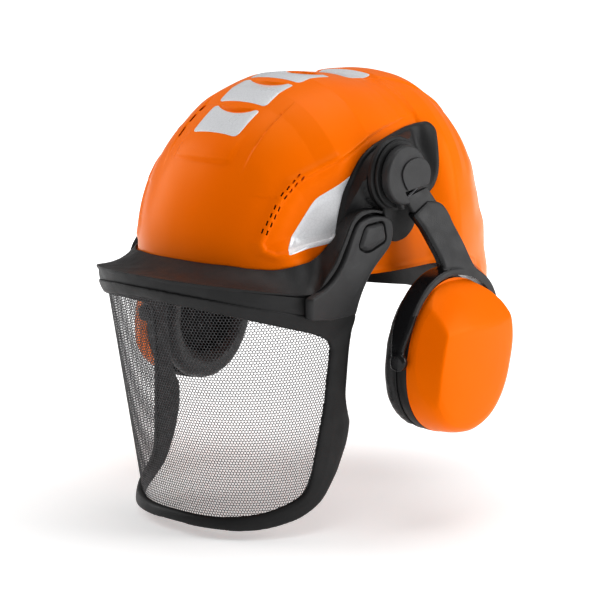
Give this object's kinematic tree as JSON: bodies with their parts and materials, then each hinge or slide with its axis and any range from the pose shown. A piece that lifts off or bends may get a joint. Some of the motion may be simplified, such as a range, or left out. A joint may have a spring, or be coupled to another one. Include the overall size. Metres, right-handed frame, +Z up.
{
  "type": "forestry helmet",
  "caption": "Ventilated forestry helmet with an adjustable head harness, a hinged peak with a perforated face screen, and ear muffs on turning, swinging and sliding arms.",
  "frame": {"origin": "the seat of the head: the middle of the headband, level with the shell's rim beside the temples", "axes": "+X towards the wearer's left, -Y the way the wearer looks, +Z up"},
  "size_m": [0.306, 0.318, 0.3098],
  "materials": {
    "orange_plastic": "glossy moulded ABS",
    "black_plastic": "satin moulded plastic with a fine grain",
    "grey_plastic": "satin dark grey moulded plastic",
    "reflective_film": "silver-grey reflective film",
    "screen_sheet": "black coated, finely perforated sheet",
    "padding": "knitted cover over foam",
    "cushion_skin": "soft smooth leathercloth",
    "foam": "open cell foam",
    "webbing": "woven polyester webbing",
    "steel": "zinc plated steel"
  },
  "bodies": {
    "helmet": {"shell": "orange_plastic", "front_sticker_low": "reflective_film", "front_sticker_middle": "reflective_film", "front_sticker_high": "reflective_film", "rear_sticker_high": "reflective_film", "rear_sticker_low": "reflective_film", "side_sticker_left": "reflective_film", "side_sticker_right": "reflective_film", "side_plate_left": "black_plastic", "side_plate_right": "black_plastic", "hub_post_left": "steel", "hub_post_right": "steel", "headband": "black_plastic", "sweatband": "padding", "cradle_strap_left_front": "webbing", "cradle_strap_right_front": "webbing", "cradle_key_left_front": "black_plastic", "cradle_key_right_rear": "black_plastic", "cradle_key_right_front": "black_plastic", "cradle_key_left_rear": "black_plastic"},
    "visor": {"peak": "black_plastic", "peak_hub_left": "black_plastic", "peak_hub_right": "black_plastic", "screen_frame": "black_plastic", "screen_mesh": "screen_sheet"},
    "nape_slider": {"nape_yoke": "black_plastic", "nape_pad": "padding"},
    "nape_knob": {"nape_knob": "black_plastic"},
    "visor_button_left": {"release_button_left": "grey_plastic"},
    "muff_hub_left": {"muff_housing_left": "grey_plastic", "muff_base_ring_left": "black_plastic", "hub_cap_left": "grey_plastic", "muff_hinge_pin_left": "steel"},
    "muff_arm_left": {"muff_blade_left": "black_plastic"},
    "muff_yoke_left": {"muff_fork_left": "grey_plastic", "muff_pivot_front_left": "steel", "muff_pivot_rear_left": "steel"},
    "muff_left": {"muff_cover_left": "orange_plastic", "muff_cup_left": "black_plastic", "muff_foam_left": "foam", "muff_cushion_left": "cushion_skin"},
    "visor_button_right": {"release_button_right": "grey_plastic"},
    "muff_hub_right": {"muff_housing_right": "grey_plastic", "muff_base_ring_right": "black_plastic", "hub_cap_right": "grey_plastic", "muff_hinge_pin_right": "steel"},
    "muff_arm_right": {"muff_blade_right": "black_plastic"},
    "muff_yoke_right": {"muff_fork_right": "grey_plastic", "muff_pivot_front_right": "steel", "muff_pivot_rear_right": "steel"},
    "muff_right": {"muff_cover_right": "orange_plastic", "muff_cup_right": "black_plastic", "muff_foam_right": "foam", "muff_cushion_right": "cushion_skin"}
  },
  "joints": [
    {"name": "visor_lift", "type": "hinge", "parent": "helmet", "child": "visor", "pos_m": [0, -0.02, 0.07], "axis": [-1, 0, 0], "range_deg": [0, 95]},
    {"name": "visor_button_left_press", "type": "slide", "parent": "visor", "child": "visor_button_left", "axis": [-1, 0, 0], "range_m": [0, 0.002], "stiffness_N_per_m": 600, "springref_m": -0.002},
    {"name": "muff_left_turn", "type": "hinge", "parent": "helmet", "child": "muff_hub_left", "pos_m": [0, -0.02, 0.07], "axis": [1, 0, 0], "range_deg": [-4, 120]},
    {"name": "muff_left_swing", "type": "hinge", "parent": "muff_hub_left", "child": "muff_arm_left", "pos_m": [0.1015, -0.01233, 0.05653], "axis": [0, -0.8691, -0.4947], "range_deg": [-13, 28]},
    {"name": "muff_left_height", "type": "slide", "parent": "muff_arm_left", "child": "muff_yoke_left", "axis": [0.4472, 0.4425, -0.7773], "range_m": [-0.005, 0.018]},
    {"name": "muff_left_tilt", "type": "hinge", "parent": "muff_yoke_left", "child": "muff_left", "pos_m": [0.1215, 0.001, -0.062], "axis": [0, -1, 0], "range_deg": [-10, 10]},
    {"name": "visor_button_right_press", "type": "slide", "parent": "visor", "child": "visor_button_right", "axis": [1, 0, 0], "range_m": [0, 0.002], "stiffness_N_per_m": 600, "springref_m": -0.002},
    {"name": "muff_right_turn", "type": "hinge", "parent": "helmet", "child": "muff_hub_right", "pos_m": [0, -0.02, 0.07], "axis": [1, 0, 0], "range_deg": [-4, 120]},
    {"name": "muff_right_swing", "type": "hinge", "parent": "muff_hub_right", "child": "muff_arm_right", "pos_m": [-0.1015, -0.01233, 0.05653], "axis": [0, 0.8691, 0.4947], "range_deg": [-13, 28]},
    {"name": "muff_right_height", "type": "slide", "parent": "muff_arm_right", "child": "muff_yoke_right", "axis": [-0.4472, 0.4425, -0.7773], "range_m": [-0.005, 0.018]},
    {"name": "muff_right_tilt", "type": "hinge", "parent": "muff_yoke_right", "child": "muff_right", "pos_m": [-0.1215, 0.001, -0.062], "axis": [0, 1, 0], "range_deg": [-10, 10]},
    {"name": "nape_knob_turn", "type": "hinge", "parent": "nape_slider", "child": "nape_knob", "pos_m": [0, 0.1235, -0.0155], "axis": [0, 1, 0], "range_deg": [0, 360]},
    {"name": "nape_slide", "type": "slide", "parent": "helmet", "child": "nape_slider", "axis": [0, -1, 0], "range_m": [0, 0.018]}
  ],
  "couplings": [
    {"joint": "nape_knob_turn", "follows": "nape_slide", "rad_per_m": 349.06}
  ]
}
